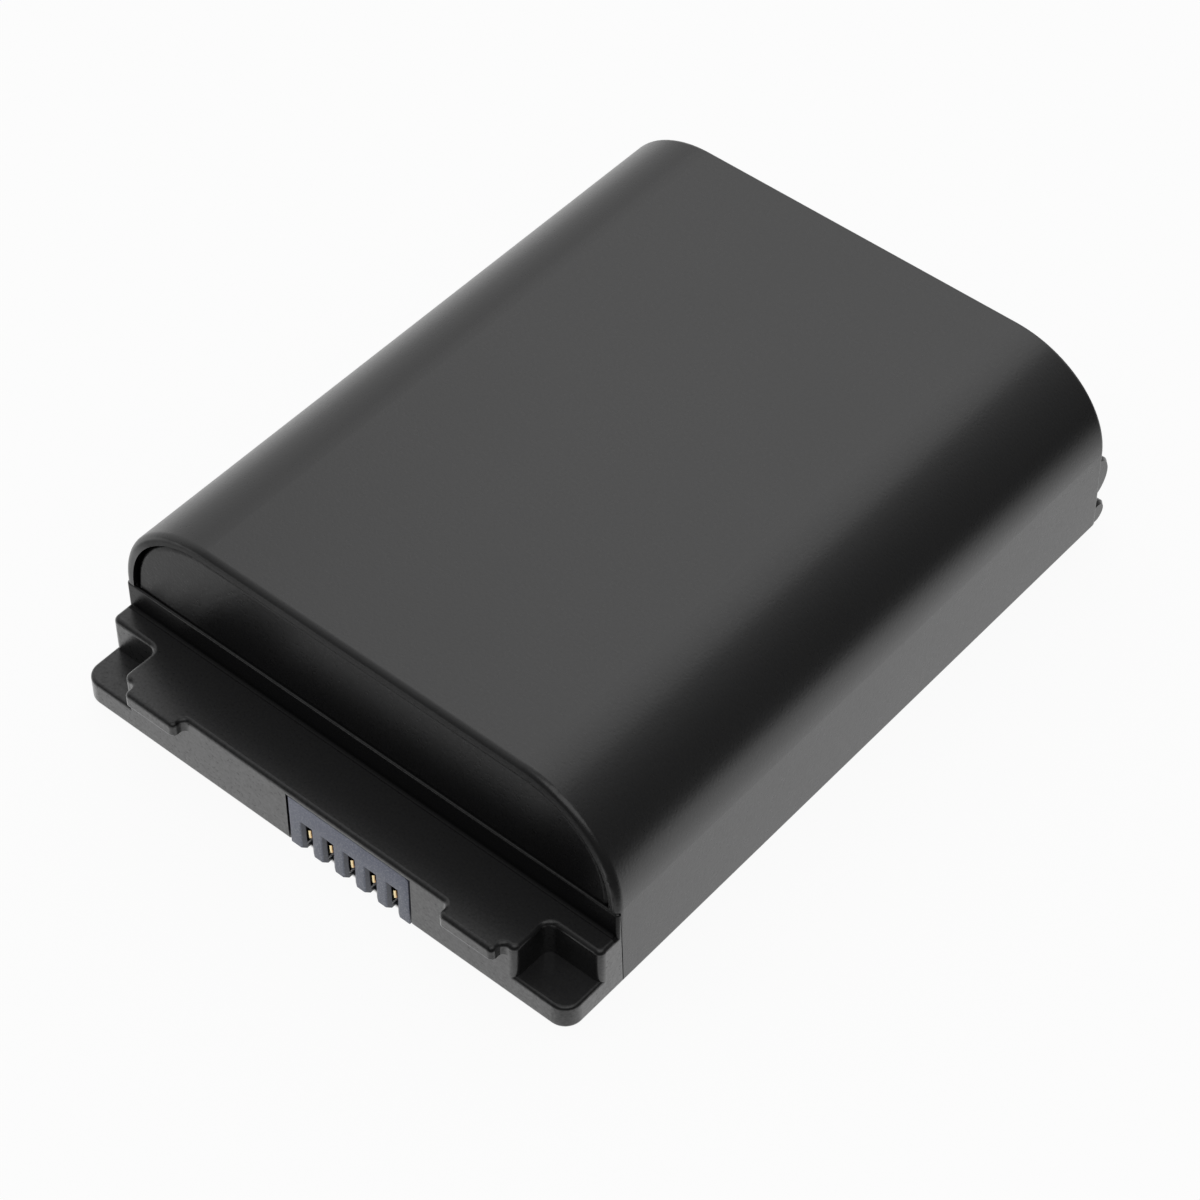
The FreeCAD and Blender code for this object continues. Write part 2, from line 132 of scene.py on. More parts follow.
# %% Finishes
class Finish:
    """A material or a sky being put together: its tree, its shader and the method that adds nodes."""

    def __init__(self, owner):
        owner.use_nodes = True
        self.owner = owner
        self.tree = owner.node_tree
        self.shader = next(node for node in self.tree.nodes if node.outputs)

    def fill(self, node, inputs):
        """Links wires to a node's sockets, and sets the sockets that get a plain value."""
        for key, value in inputs.items():
            if isinstance(value, Wire):
                self.tree.links.new(value.socket, node.inputs[key])
            else:
                node.inputs[key].default_value = value

    def node(self, kind, settings, inputs, output=0):
        """Adds a node, its options first and then its sockets, and gives one of its outputs."""
        made = self.tree.nodes.new(kind)
        for key, value in settings.items():
            setattr(made, key, value)
        self.fill(made, inputs)
        return Wire(self, made.outputs[output])

    def place(self):
        """Object coordinates: where a point lies in the pack, in metres."""
        return self.node("ShaderNodeTexCoord", {}, {}, "Object")

    def coordinate(self, place, axis):
        """X, Y or Z of a place."""
        return self.node("ShaderNodeSeparateXYZ", {}, {0: place}, axis)

    def reach(self, place, way):
        """How far a place lies in a direction."""
        return self.node("ShaderNodeVectorMath", {"operation": "DOT_PRODUCT"}, {0: place, 1: way}, "Value")

    def noise(self, place, size, detail=2.0, roughness=0.5):
        """Soft random field from 0 to 1 with spots of about the given size."""
        sockets = {"Vector": place, "Scale": 1 / size, "Detail": detail, "Roughness": roughness}
        return self.node("ShaderNodeTexNoise", {}, sockets)

    def stretch(self, place, scale):
        """Place scaled along each axis, so that a noise on it is drawn out to streaks."""
        return self.node("ShaderNodeMapping", {}, {"Vector": place, "Scale": scale})

    def ramp(self, value, low, high):
        """The value stretched so that low becomes 0 and high becomes 1."""
        return self.node("ShaderNodeMapRange", {}, {0: value, 1: low, 2: high})

    def blend(self, share, first, second):
        """Colour between two others."""
        return self.node("ShaderNodeMix", {"data_type": "RGBA"}, {0: share, 6: first, 7: second}, 2)

    def bump(self, height, depth):
        """Surface relief of the given depth in metres."""
        return self.node("ShaderNodeBump", {}, {"Height": height, "Distance": depth})

    def surface(self, **sockets):
        """Sets sockets of the shader and hands back the material or sky."""
        self.fill(self.shader, {key.replace("_", " "): value for key, value in sockets.items()})
        return self.owner


def colour(red, green, blue):
    """Colour as the shader's sockets take it."""
    return (red, green, blue, 1.0)


def new_finish(name):
    """Finish of a new material."""
    return Finish(bpy.data.materials.new(name))


print("the language for finishes is ready")

# %% [markdown]
# ## The black housing
# The shell and the tray are moulded from the same black plastic. Its finish is satin: a fine
# spark-eroded grain breaks up reflections, and nearly all the grey we see is soft reflection
# and not pigment. So the colour stays almost black, and a noise of about a quarter of a millimetre
# gives the grain to the bump and to the roughness. A much larger noise makes the gloss faintly
# uneven, as on any handled moulding.

# %% Housing finish
GRAIN = 0.28 * MM
GRAIN_DEPTH = 0.012 * MM
CLOUD = 14 * MM


def satin(name, depth, shine):
    """Satin black with a fine grain: its finish, places, grain, colour and roughness."""
    finish = new_finish(name)
    place = finish.place()
    grain = finish.noise(place, GRAIN, detail=3.0, roughness=0.55)
    cloud = finish.noise(place, CLOUD)
    tint = finish.blend(cloud, colour(0.0044, 0.0044, 0.0048), colour(0.0060, 0.0060, 0.0064))
    gloss = 0.20 + cloud * 0.04 + grain * 0.16
    finish.surface(Specular_IOR_Level=shine, Normal=finish.bump(grain, depth))
    return finish, place, grain, tint, gloss


print("grain:", round(GRAIN / MM, 3), "mm wide,", round(GRAIN_DEPTH / MM, 3), "mm deep")

# %% [markdown]
# The cover is the glossier of the two mouldings. Only the narrow front of its rim is dull along
# the top, because that is where the two halves of the mould met.

# %% Cover
RIM_DULL = 0.1 * MM
RIM_BEND = 14.5 * MM
RIM_STRAIGHT = 17.5 * MM
RIM_ROUGH = 0.4

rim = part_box("cover")[0].y


def cover_finish():
    """Satin black that turns dull on the rim's front."""
    finish, place, _, tint, gloss = satin("cover_satin_black", depth=GRAIN_DEPTH, shine=0.75)
    parting = finish.ramp(finish.coordinate(place, "Y"), rim + RIM_DULL, rim + RIM_DULL / 5)
    level = finish.ramp(finish.coordinate(place, "Z"), RIM_BEND, RIM_STRAIGHT)
    return finish.surface(Base_Color=tint, Roughness=gloss + parting * level * RIM_ROUGH)


cover_satin = cover_finish()
print("made", cover_satin.name)

# %% [markdown]
# The tray's end wall is much duller than its front block, whose mould was polished. A clear coat stands for
# the polish, and its weight says where: on everything in front of the band's foot, on the two sides and on
# the band's narrow top, and less in the grain's hollows. The ledge and the notch floors, which face up, are
# painted a little paler as light from above. The lower edge of each tab, which slides in first, carries a
# much paler line, a painted highlight. A face is found by its place, to within a tenth of a millimetre or so.

# %% Tray
LEDGE = 7.0 * MM
NOTCH_FLOOR = 2.9 * MM
BAND_TOP = 10.0 * MM
BAND_FOOT = 0.35 * MM
END_WALL = 0.3 * MM
TAB_FOOT = 5.55 * MM
TAB_EDGE = 0.08 * MM
FLANK_SKIN = 0.02 * MM
LEVEL_SKIN = 0.05 * MM
BAND_SKIN = 0.15 * MM


def tray_finish():
    """Duller black with a polished front block."""
    finish, place, grain, tint, gloss = satin("tray_satin_black", depth=1.5 * GRAIN_DEPTH, shine=0.2)
    low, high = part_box("base")
    across, along, up = (finish.coordinate(place, axis) for axis in "XYZ")
    block = along < rim - BAND_FOOT
    flank = abs(across) > high.x - FLANK_SKIN
    band_top = (up > BAND_TOP - BAND_SKIN) * (along < rim + 0.8 * END_WALL)
    polish = (block | flank | band_top) * (0.2 + grain * 1.2)
    # Painted light: the upward ledge and notch floors are made a little paler.
    painted_top_light = block * ((up > LEDGE - LEVEL_SKIN) | (abs(up - NOTCH_FLOOR) < LEVEL_SKIN))
    # Painted highlight: a pale line along the lower front edge of each tab.
    painted_tab_highlight = (along < low.y + 2 * TAB_EDGE) * (abs(up - TAB_FOOT) < TAB_EDGE)
    tint = finish.blend(painted_top_light, tint, colour(0.021, 0.021, 0.0215))
    tint = finish.blend(painted_tab_highlight, tint, colour(0.30, 0.30, 0.31))
    return finish.surface(Base_Color=tint, Roughness=gloss, Coat_Weight=polish, Coat_Roughness=0.28)


tray_satin = tray_finish()
print("made", tray_satin.name)

# %% [markdown]
# ## The comb's plastic
# The connector is a separate moulding in a harder, glass-filled plastic. It is blue-grey and dry, paler
# towards its top, with fine pale specks where the glass fibres reach the surface. Behind its front face,
# which means in the slots that steel slides have formed, the grey is painted darker as shade, and darker
# still deep in. A pale line along each sill's edge is a painted highlight.

# %% Comb finish
PITCH = 2.5 * MM
LEAD_IN = 0.32 * MM
SLIT_WIDE = 0.72 * MM
SILL = 0.65 * MM
SILL_EDGE = 0.11 * MM
FIBRE = 0.18 * MM
FIBRE_DEPTH = 0.010 * MM
PALE_FROM = 2.0 * MM
PALE_TO = 5.5 * MM
COMB_SKIN = 0.05 * MM
COMB_CLOUD = 1.6 * MM
SPECK_FROM = 0.48
SPECK_TO = 0.70
SLOT_FADE = 0.07 * MM
SLOT_SHADE = 0.62
DEEP_SHADE = 0.3

comb_low, comb_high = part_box("connector_block")
comb_front = comb_low.y
fork_low, fork_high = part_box("contact_1")
first_x = (fork_low.x + fork_high.x) / 2


def comb_finish():
    """Blue-grey glass-filled plastic."""
    finish = new_finish("comb_blue_grey")
    place = finish.place()
    across, along, up = (finish.coordinate(place, axis) for axis in "XYZ")
    fibre = finish.noise(place, FIBRE, detail=4.0, roughness=0.65)
    cloud = finish.noise(place, COMB_CLOUD)
    speck = finish.ramp(fibre, SPECK_FROM, SPECK_TO)
    tone = cloud * 0.6 + finish.ramp(up, PALE_FROM, PALE_TO) * 0.6
    tint = finish.blend(tone, colour(0.108, 0.122, 0.168), colour(0.200, 0.214, 0.284))
    tint = finish.blend(speck * 0.75, tint, colour(0.40, 0.42, 0.49))
    # Painted shade: behind the front face, in the slots, the grey is darkened, more so deep in.
    slot = finish.ramp(along, comb_front + COMB_SKIN, comb_front + COMB_SKIN + SLOT_FADE)
    deep = along > comb_front + LEAD_IN + COMB_SKIN
    tint = finish.blend(slot * SLOT_SHADE + deep * DEEP_SHADE, tint, colour(0.006, 0.007, 0.009))
    from_slot = abs((across - first_x + PITCH / 2) % PITCH - PITCH / 2)
    # Painted highlight: a pale line along each sill's edge in the slots.
    painted_sill_highlight = deep * (abs(up - SILL) < SILL_EDGE) * (abs(from_slot - SLIT_WIDE / 2) < SILL_EDGE)
    tint = finish.blend(painted_sill_highlight, tint, colour(0.80, 0.82, 0.86))
    relief = finish.bump(fibre, FIBRE_DEPTH)
    return finish.surface(Base_Color=tint, Roughness=0.38 + fibre * 0.1, Normal=relief)


comb_plastic = comb_finish()
print("made", comb_plastic.name)

# %% [markdown]
# ## Gold on the contacts
# The fork contacts are stamped from spring bronze, and to save gold only their curled lips are
# plated. Plating is a metal, so the colour is the colour of its reflection. Faint rolling marks
# run along the leaves, and behind the lips the bare bronze is brown.

# %% Contact finish
PLATED_TO = 0.74 * MM
PLATING_FADE = 0.15 * MM
ROLL_MARK = 0.05 * MM


def contact_finish():
    """Bronze with gold on the lips and faint rolling marks."""
    finish = new_finish("contact_gold_plating")
    place = finish.place()
    along = finish.coordinate(place, "Y")
    marks = finish.noise(finish.stretch(place, (1.0, 0.08, 1.0)), ROLL_MARK)
    edge = comb_front + PLATED_TO
    bare = finish.ramp(along + marks * 0.1 * MM, edge, edge + PLATING_FADE)
    tint = finish.blend(bare, colour(1.0, 0.84, 0.50), colour(0.42, 0.19, 0.06))
    return finish.surface(Base_Color=tint, Metallic=1.0, Roughness=0.16 + marks * 0.14)


contact_gold = contact_finish()
print("made", contact_gold.name)

# %% [markdown]
# ## Finishes of the inside
# Nothing inside can be seen while the pack is closed, but the solids are there for anyone who
# takes it apart: cells in shrunk film, fish paper, nickel, foam, a circuit board and its parts.

# %% Sleeve, paper, nickel and foam
SLEEVE_CREASE = 1.2 * MM
PAPER_FIBRE = 0.3 * MM
NICKEL_STREAK = 0.12 * MM
FOAM_PORE = 0.5 * MM


def sleeve_finish():
    """Blue film, shrunk tight on the cans, with faint creases along them."""
    finish = new_finish("cell_sleeve_film")
    place = finish.place()
    crease = finish.noise(finish.stretch(place, (1.0, 0.15, 1.0)), SLEEVE_CREASE)
    tint = finish.blend(crease, colour(0.010, 0.070, 0.190), colour(0.014, 0.090, 0.230))
    relief = finish.bump(crease, 0.03 * MM)
    return finish.surface(Base_Color=tint, Roughness=0.22 + crease * 0.1, Normal=relief)


def paper_finish():
    """Pressed fish paper with short fibres."""
    finish = new_finish("fish_paper")
    place = finish.place()
    fibre = finish.noise(place, PAPER_FIBRE, detail=5.0, roughness=0.7)
    tint = finish.blend(fibre, colour(0.30, 0.40, 0.25), colour(0.42, 0.52, 0.36))
    return finish.surface(Base_Color=tint, Roughness=0.75 + fibre * 0.1, Normal=finish.bump(fibre, 0.02 * MM))


def nickel_finish():
    """Rolled nickel strip, streaked across the pack."""
    finish = new_finish("rolled_nickel")
    place = finish.place()
    streak = finish.noise(finish.stretch(place, (0.05, 1.0, 1.0)), NICKEL_STREAK, detail=3.0)
    tint = finish.blend(streak, colour(0.52, 0.50, 0.46), colour(0.66, 0.64, 0.60))
    return finish.surface(Base_Color=tint, Metallic=1.0, Roughness=0.25 + streak * 0.2)


def foam_finish():
    """Closed-cell foam with fine pores."""
    finish = new_finish("closed_cell_foam")
    pore = finish.node("ShaderNodeTexVoronoi", {}, {"Vector": finish.place(), "Scale": 1 / FOAM_PORE})
    tint = finish.blend(pore, colour(0.006, 0.006, 0.007), colour(0.020, 0.020, 0.022))
    return finish.surface(Base_Color=tint, Roughness=0.9 - pore * 0.1, Normal=finish.bump(pore, 0.1 * MM))


cell_sleeve = sleeve_finish()
fish_paper = paper_finish()
rolled_nickel = nickel_finish()
pad_foam = foam_finish()
print("made", cell_sleeve.name, fish_paper.name, rolled_nickel.name, pad_foam.name)

# %% [markdown]
# The board is glass epoxy under green solder mask, and copper tracks below the mask show as lighter
# lanes. A height that starts again every 0.8 mm draws them, and a noise lets them wander, which is
# simpler than drawing a circuit that nobody sees.

# %% Board and chips
TRACK_PITCH = 0.8 * MM
TRACK_WANDER = 4 * MM
CHIP_DUST = 0.08 * MM


def board_finish():
    """Green solder mask over tracks that run along the board."""
    finish = new_finish("board_solder_mask")
    place = finish.place()
    wander = finish.noise(place, TRACK_WANDER) * 0.6
    lane = (finish.coordinate(place, "Z") / TRACK_PITCH + wander) % 1.0
    track = finish.ramp(abs(lane - 0.5), 0.22, 0.28)
    tint = finish.blend(track, colour(0.010, 0.085, 0.030), colour(0.004, 0.042, 0.014))
    return finish.surface(Base_Color=tint, Roughness=0.3 + track * 0.12, Normal=finish.bump(track, 0.02 * MM))


def chip_finish():
    """Moulded black epoxy."""
    finish = new_finish("chip_epoxy")
    dust = finish.noise(finish.place(), CHIP_DUST, detail=3.0)
    tint = finish.blend(dust, colour(0.008, 0.008, 0.009), colour(0.016, 0.016, 0.017))
    return finish.surface(Base_Color=tint, Roughness=0.5 + dust * 0.15, Normal=finish.bump(dust, 0.004 * MM))


board_mask = board_finish()
chip_epoxy = chip_finish()
print("made", board_mask.name, chip_epoxy.name)

# %% [markdown]
# The fuse and the sense resistor are ceramic with tinned ends, and the thermistor is a resin bead on
# bare wires. Each is one solid, so a mask along its length says where the metal is.

# %% Fuse, resistor and thermistor
FUSE_CAP = 0.8 * MM
RESISTOR_CAP = 0.5 * MM
CERAMIC_DUST = 0.1 * MM
BEAD_FLOW = 0.6 * MM


def capped_finish(name, node, cap):
    """Ceramic body with tinned caps on its two ends."""
    low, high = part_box(node)
    middle = (low.x + high.x) / 2
    finish = new_finish(name)
    place = finish.place()
    along = finish.coordinate(place, "X")
    tinned = abs(along - middle) > (high.x - low.x) / 2 - cap
    dust = finish.noise(place, CERAMIC_DUST, detail=3.0)
    body = finish.blend(dust, colour(0.55, 0.53, 0.47), colour(0.66, 0.64, 0.58))
    tint = finish.blend(tinned, body, colour(0.70, 0.69, 0.66))
    return finish.surface(Base_Color=tint, Metallic=tinned, Roughness=0.45 - tinned * 0.15 + dust * 0.1)


def thermistor_finish():
    """Dark dipped bead on tinned wires."""
    low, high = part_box("thermistor")
    bead_start = high.y - (high.x - low.x)
    finish = new_finish("thermistor_resin")
    place = finish.place()
    wire = finish.coordinate(place, "Y") < bead_start
    flow = finish.noise(place, BEAD_FLOW)
    bead = finish.blend(flow, colour(0.010, 0.008, 0.006), colour(0.020, 0.016, 0.012))
    tint = finish.blend(wire, bead, colour(0.62, 0.60, 0.56))
    return finish.surface(Base_Color=tint, Metallic=wire, Roughness=0.2 + flow * 0.1)


fuse_ceramic = capped_finish("fuse_ceramic", "fuse", FUSE_CAP)
sense_ceramic = capped_finish("sense_ceramic", "sense_resistor", RESISTOR_CAP)
thermistor_dip = thermistor_finish()
print("made", fuse_ceramic.name, sense_ceramic.name, thermistor_dip.name)

# %% [markdown]
# ## Finishes go on the solids
# Each solid keeps its own mesh and only its material slot changes, so a name is enough to say
# which finish it wears.

# %% Dress the solids
wears = {
    "cover": cover_satin,
    "base": tray_satin,
    "connector_block": comb_plastic,
    "contact": contact_gold,
    "cell_ring": fish_paper,
    "cell": cell_sleeve,
    "positive_strip": rolled_nickel,
    "negative": rolled_nickel,
    "front_insulator": fish_paper,
    "rear_insulator": fish_paper,
    "rear_pad": pad_foam,
    "protection_board": board_mask,
    "protection_chip": chip_epoxy,
    "switch_chip": chip_epoxy,
    "fuse": fuse_ceramic,
    "sense_resistor": sense_ceramic,
    "thermistor": thermistor_dip,
}
for name, solid in nodes.items():
    start = next(key for key in wears if name.startswith(key))
    solid.material_slots[0].material = wears[start]
print("dressed", len(nodes), "solids")

# %% [markdown]
# ## Tools for modelling by hand
# Two pieces in the front face are worth modelling again with the small edge rounds that a moulder
# and a stamper leave: the comb and its contacts. Both start from a primitive, and the helpers here
# do what a hand does in Blender: add a block, pick faces or edges, extrude, and apply modifiers.
# Everything is a few millimetres large, so every merge distance has to be far below Blender's own.

# %% Blocks, picking and extruding
HAIR = 1e-7


def add_block(name, low, high):
    """Cube primitive stretched between two corners, with its place in its mesh."""
    bpy.ops.object.select_all(action="DESELECT")
    low, high = Vector(low), Vector(high)
    bpy.ops.mesh.primitive_cube_add(size=1, location=(low + high) / 2, scale=high - low)
    bpy.ops.object.transform_apply(location=True, rotation=True, scale=True)
    block = bpy.context.object
    block.name = name
    return block


def pick(piece, kind, test):
    """Edit mode with those faces or edges selected whose middle and direction pass the test."""
    bpy.context.view_layer.objects.active = piece
    bpy.ops.object.mode_set(mode="EDIT")
    bpy.ops.mesh.select_mode(type=kind)
    bpy.ops.mesh.select_all(action="DESELECT")
    bpy.ops.object.mode_set(mode="OBJECT")
    mesh = piece.data
    if kind == "FACE":
        for face in mesh.polygons:
            face.select = test(face.center, face.normal)
    else:
        for edge in mesh.edges:
            start, end = (mesh.vertices[index].co for index in edge.vertices)
            edge.select = test((start + end) / 2, (end - start).normalized())
    bpy.ops.object.mode_set(mode="EDIT")


def push(x=0.0, y=0.0):
    """Extrudes what is selected."""
    bpy.ops.mesh.extrude_region_move(TRANSFORM_OT_translate={"value": (x, y, 0.0)})


print("merge distance:", round(HAIR / MM, 6), "mm")

# %% [markdown]
# The other helpers work on a whole piece. A modifier is applied as soon as it is set, so the next
# step sees a plain mesh, and the last helper shades a piece, dresses it and hides the solid that
# it stands for.

# %% Modifiers, edges and dressing
FLAT = math.radians(1)
SHARP = math.radians(30)
SMOOTH = math.radians(40)


def apply_modifier(piece, kind, **settings):
    """Adds a modifier with its settings and applies it."""
    bpy.ops.object.mode_set(mode="OBJECT")
    bpy.ops.object.select_all(action="DESELECT")
    bpy.context.view_layer.objects.active = piece
    piece.select_set(True)
    modifier = piece.modifiers.new(kind.lower(), kind)
    for key, value in settings.items():
        setattr(modifier, key, value)
    bpy.ops.object.modifier_apply(modifier=modifier.name)


def combine(piece, other, operation):
    """Boolean of two pieces, after which the second is gone."""
    apply_modifier(piece, "BOOLEAN", operation=operation, solver="EXACT", object=other)
    bpy.data.objects.remove(other)


def soften(piece, width):
    """Clears loose cuts from flat faces, then rounds the outer edges and leaves inner corners sharp."""
    pick(piece, "FACE", lambda middle, normal: True)
    bpy.ops.mesh.remove_doubles(threshold=HAIR)
    bpy.ops.mesh.dissolve_limited(angle_limit=FLAT)
    bpy.ops.mesh.normals_make_consistent(inside=False)
    bpy.ops.mesh.select_mode(type="EDGE")
    bpy.ops.mesh.select_all(action="DESELECT")
    for edge in bmesh.from_edit_mesh(piece.data).edges:
        edge.select_set(edge.is_convex and edge.calc_face_angle() > SHARP)
    bpy.ops.mesh.bevel(offset=width, segments=2)
    bpy.ops.object.mode_set(mode="OBJECT")


def settle(piece, node, finish):
    """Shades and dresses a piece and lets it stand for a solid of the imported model."""
    bpy.ops.object.select_all(action="DESELECT")
    bpy.context.view_layer.objects.active = piece
    piece.select_set(True)
    bpy.ops.object.shade_smooth_by_angle(angle=SMOOTH)
    piece.data.materials.clear()
    piece.data.materials.append(finish)
    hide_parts(node)
    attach(piece, "root")


print("edges over", round(math.degrees(SHARP)), "degrees are rounded")

# %% [markdown]
# ## The comb
# The comb is one moulding: a block with a cut top corner, so that it can only go in one way round,
# and a flange that seats behind the front wall. Its body and flange are two blocks in one Boolean,
# because the cut runs along the front only.

# %% Comb body
WING = 1.0 * MM
WING_BACK = 1.2 * MM
WING_FOOT = 1.2 * MM
KEY = 0.3 * MM

board = comb_high.y
left, right = comb_low.x + WING, comb_high.x - WING
comb = add_block("connector_comb", (left, comb_front, comb_low.z), (right, board, comb_high.z))
edge_place = Vector((right, (comb_front + board) / 2, comb_high.z))
pick(comb, "EDGE", lambda middle, way: (middle - edge_place).length < HAIR)
bpy.ops.mesh.bevel(offset=KEY, segments=1)
bpy.ops.object.mode_set(mode="OBJECT")
flange = add_block("comb_flange", (comb_low.x, comb_front + WING_BACK, WING_FOOT), comb_high)
combine(comb, flange, "UNION")
print("comb body:", len(comb.data.polygons), "faces")

# %% [markdown]
# Five slots open to the front and below. Each has a throat, wide at the mouth and narrowing to a
# slit. One throat is modelled as a cutter: a block in front of the comb, its back face extruded and
# narrowed, then extruded again. An Array makes the row, and a Boolean cuts it.

# %% Throats
CONTACTS = 5
SLOT_WIDE = 1.6 * MM
SLOT_HIGH = 3.75 * MM
SLIT_RUN = 2.0 * MM
PAST = 1.0 * MM
FACING = 0.9

row = {"count": CONTACTS, "use_relative_offset": False, "use_constant_offset": True}
row["constant_offset_displace"] = (PITCH, 0, 0)


def faces_back(middle, normal):
    """True for a face that looks to the rear."""
    return normal.y > FACING


half = SLOT_WIDE / 2
throat = add_block(
    "throat", (first_x - half, comb_front - PAST, -PAST), (first_x + half, comb_front, SLOT_HIGH)
)
pick(throat, "FACE", faces_back)
push(y=LEAD_IN)
bpy.ops.transform.resize(value=(SLIT_WIDE / SLOT_WIDE, 1, 1), center_override=(first_x, 0, 0))
push(y=SLIT_RUN - LEAD_IN)
apply_modifier(throat, "ARRAY", **row)
combine(comb, throat, "DIFFERENCE")
print("comb with throats:", len(comb.data.polygons), "faces")

# %% [markdown]
# Behind each throat lies a chamber for the contact, with a hole for its tail. Its cutter starts as a
# block too. An extrusion of no length doubles its back face, the new face is shrunk and moved to
# where the tail is, and a second extrusion drives it out through the back of the comb.

# %% Chambers
CHAMBER_WIDE = 1.5 * MM
CHAMBER_FRONT = 0.45 * MM
CHAMBER_BACK = 0.6 * MM
TAIL_WIDE = 0.5 * MM
TAIL_HOLE = 0.6 * MM

tail_z = fork_high.z - TAIL_WIDE / 2
half = CHAMBER_WIDE / 2
chamber_end = board - CHAMBER_BACK
chamber = add_block(
    "chamber", (first_x - half, comb_front + CHAMBER_FRONT, SILL), (first_x + half, chamber_end, SLOT_HIGH)
)
pick(chamber, "FACE", faces_back)
push()
chamber_z = (SILL + SLOT_HIGH) / 2
narrow = (TAIL_HOLE / CHAMBER_WIDE, 1, TAIL_HOLE / (SLOT_HIGH - SILL))
bpy.ops.transform.resize(value=narrow, center_override=(first_x, chamber_end, chamber_z))
bpy.ops.transform.translate(value=(0, 0, tail_z - chamber_z))
push(y=CHAMBER_BACK + PAST)
apply_modifier(chamber, "ARRAY", **row)
combine(comb, chamber, "DIFFERENCE")
print("comb with chambers:", len(comb.data.polygons), "faces")

# %% [markdown]
# The Booleans leave loose cuts across flat faces. A limited dissolve clears them, and then a very
# small bevel rounds the edges, which is what lets the teeth catch the light along their corners.
# Only outer edges are rounded, because a bevel throws a spike where an inner corner ends.

# %% Comb edges
COMB_EDGE = 0.06 * MM

soften(comb, COMB_EDGE)
settle(comb, "connector_block", comb_plastic)
print("comb:", len(comb.data.polygons), "faces")

# %% [markdown]
# ## The fork contacts
# A fork contact is stamped from strip and bent: two leaves that close to a nose, curl outwards at
# their lips to lead a blade in, and meet behind in a web with a tail for the board. Half a fork is
# enough, because the other half is its mirror image. It starts as the leaf's cross-section at the
# nose, is extruded to the rear and spun forwards about the lip's centre.

# %% Half a fork
LEAF = 0.2 * MM
NOSE_GAP = 0.24 * MM
NOSE_DEEP = 1.15 * MM
LIP_RADIUS = 0.55 * MM
LIP_TURN = math.radians(75)
LIP_STEPS = 10
FORK_WIDE = 1.1 * MM
FORK_STRAIGHT = 0.55 * MM
FORK_CLEAR = 0.1 * MM

nose_y = comb_front + NOSE_DEEP
root_y = chamber_end - FORK_CLEAR
leaf_tall = fork_high.z - fork_low.z
leaf_z = (fork_low.z + fork_high.z) / 2
nose_x = (NOSE_GAP + LEAF) / 2

bpy.ops.object.select_all(action="DESELECT")
bpy.ops.mesh.primitive_plane_add(size=1, location=(nose_x, nose_y, leaf_z), rotation=(math.pi / 2, 0, 0))
fork = bpy.context.object
fork.name = "fork_contact_1"
fork.scale = (LEAF, leaf_tall, 1)
bpy.ops.object.transform_apply(location=True, rotation=True, scale=True)
pick(fork, "FACE", lambda middle, normal: True)
push(x=(FORK_WIDE - LEAF) / 2 - nose_x, y=root_y - FORK_STRAIGHT - nose_y)
push(y=FORK_STRAIGHT)
bpy.ops.mesh.select_all(action="SELECT")
bpy.ops.mesh.normals_make_consistent(inside=False)
pick(fork, "FACE", lambda middle, normal: abs(middle.y - nose_y) < HAIR)
lip_centre = (NOSE_GAP / 2 + LIP_RADIUS, nose_y, leaf_z)
bpy.ops.mesh.spin(steps=LIP_STEPS, angle=LIP_TURN, center=lip_centre, axis=(0, 0, -1))
bpy.ops.object.mode_set(mode="OBJECT")
print("leaf:", len(fork.data.polygons), "faces")

# %% [markdown]
# The web grows from the inner side of the leaf's end to the mirror plane, and the tail from the
# back of the web. Bisect first draws the lines where they start. The faces on the mirror plane
# would end up inside the fork, so they are deleted before the Mirror modifier closes it.

# %% Web, tail and mirror
FORK_EDGE = 0.03 * MM


def bisect_all(piece, place, normal):
    """Cuts new edges round the whole piece where a plane passes."""
    pick(piece, "FACE", lambda middle, facing: True)
    bpy.ops.mesh.bisect(plane_co=place, plane_no=normal, threshold=HAIR)


bisect_all(fork, (0, root_y - LEAF, 0), (0, 1, 0))
pick(fork, "FACE", lambda middle, normal: middle.y > root_y - LEAF and normal.x < -FACING)
push(x=LEAF - FORK_WIDE / 2)
bisect_all(fork, (TAIL_WIDE / 2, 0, 0), (1, 0, 0))
bisect_all(fork, (0, 0, fork_high.z - TAIL_WIDE), (0, 0, 1))
pick(
    fork,
    "FACE",
    lambda middle, normal: abs(middle.y - root_y) < HAIR
    and normal.y > FACING
    and middle.x < TAIL_WIDE / 2
    and middle.z > fork_high.z - TAIL_WIDE,
)
push(y=fork_high.y - root_y)
pick(fork, "FACE", lambda middle, normal: abs(middle.x) < HAIR and abs(normal.x) > FACING)
bpy.ops.mesh.delete(type="FACE")
apply_modifier(fork, "MIRROR", merge_threshold=HAIR)
soften(fork, FORK_EDGE)
print("fork:", len(fork.data.polygons), "faces")

# %% [markdown]
# One fork is finished, so the other four are copies, each with a mesh of its own that is moved
# to its slot.

# %% Row of forks
forks = [fork]
for number in range(1, CONTACTS):
    copy = fork.copy()
    copy.data = fork.data.copy()
    copy.name = "fork_contact_" + str(number + 1)
    bpy.context.scene.collection.objects.link(copy)
    forks.append(copy)
for number, piece in enumerate(forks):
    bpy.ops.object.select_all(action="DESELECT")
    piece.select_set(True)
    bpy.context.view_layer.objects.active = piece
    piece.location.x = first_x + number * PITCH
    bpy.ops.object.transform_apply(location=True, rotation=False, scale=False)
    settle(piece, "contact_" + str(number + 1), contact_gold)
print("forks:", [piece.name for piece in forks])
